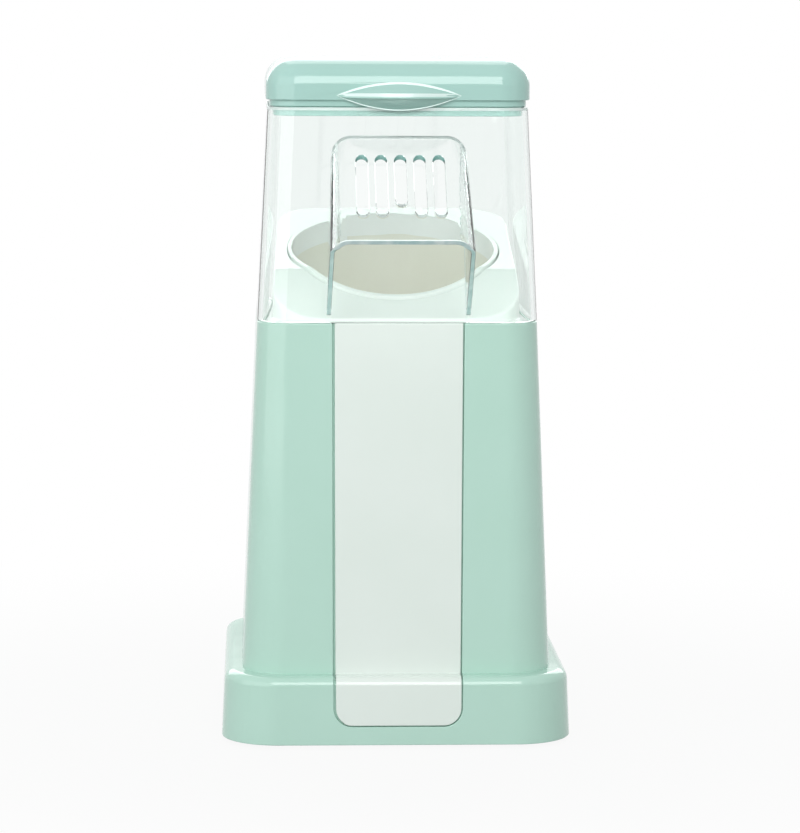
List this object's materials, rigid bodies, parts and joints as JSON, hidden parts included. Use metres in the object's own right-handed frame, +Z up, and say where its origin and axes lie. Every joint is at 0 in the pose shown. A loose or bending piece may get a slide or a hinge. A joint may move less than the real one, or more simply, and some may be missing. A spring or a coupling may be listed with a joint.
{
  "type": "popcorn maker",
  "caption": "Free-standing hot-air popcorn maker: tapered column on a wide base, with a clear cover, slotted chute hood, sloping deck and lift-off lid.",
  "frame": {"origin": "on the table, under the middle of the whole machine, chute included", "axes": "+Z up, -Y towards the chute at the front, +X to the right seen from the front"},
  "size_m": [0.16, 0.195, 0.3108],
  "materials": {
    "mint_plastic": "smooth gloss moulding",
    "white_plastic": "smooth gloss moulding",
    "cream_plastic": "satin moulding",
    "clear_plastic": "clear polished moulding",
    "grey_plastic": "fine moulded grain",
    "fan_plastic": "fine moulded grain",
    "black_plastic": "satin moulding",
    "rubber": "matt rubber",
    "silicone": "matt silicone",
    "zinc_steel": "zinc plated",
    "galvanised_steel": "galvanised sheet",
    "chamber_aluminium": "spun satin",
    "mica": "flaky mica sheet",
    "heating_wire": "oxidised wire",
    "bronze": "sintered bronze",
    "fuse_metal": "plain tube",
    "circuit_board": "solder mask"
  },
  "bodies": {
    "appliance": {"base_plinth": "mint_plastic", "body_shell": "mint_plastic", "front_panel": "white_plastic", "deck": "white_plastic", "funnel_ring": "cream_plastic", "base_plate": "grey_plastic", "fan_housing": "grey_plastic", "terminal_block": "grey_plastic", "switch_housing": "black_plastic", "rubber_feet": "rubber", "cord_gland": "rubber", "chamber_gasket": "silicone", "base_screws": "zinc_steel", "body_screws": "zinc_steel", "motor_screws": "zinc_steel", "hot_air_duct": "galvanised_steel", "motor": "galvanised_steel", "thermostat": "galvanised_steel", "popping_chamber": "chamber_aluminium", "mica_liner": "mica", "heater_former": "mica", "heater_coil": "heating_wire", "motor_bushes": "bronze", "thermal_fuse": "fuse_metal", "rectifier_board": "circuit_board"},
    "cover": {"clear_cover": "clear_plastic", "chute_hood": "clear_plastic"},
    "lid": {"lid": "mint_plastic"},
    "fan": {"fan_impeller": "fan_plastic", "motor_shaft": "galvanised_steel", "fan_nut": "zinc_steel"},
    "rocker": {"switch_rocker": "black_plastic"}
  },
  "joints": [
    {"name": "cover_lift", "type": "slide", "parent": "appliance", "child": "cover", "axis": [0, 0, 1], "range_m": [0, 0.06]},
    {"name": "lid_lift", "type": "slide", "parent": "cover", "child": "lid", "axis": [0, 0, 1], "range_m": [0, 0.04]},
    {"name": "fan_spin", "type": "hinge", "parent": "appliance", "child": "fan", "pos_m": [0, 0.0156, 0.05], "axis": [0, 0, 1], "continuous": true},
    {"name": "rocker_tip", "type": "hinge", "parent": "appliance", "child": "rocker", "pos_m": [-0.038, 0.08352, 0.05889], "axis": [1, 0, 0], "range_deg": [0, 18]}
  ]
}
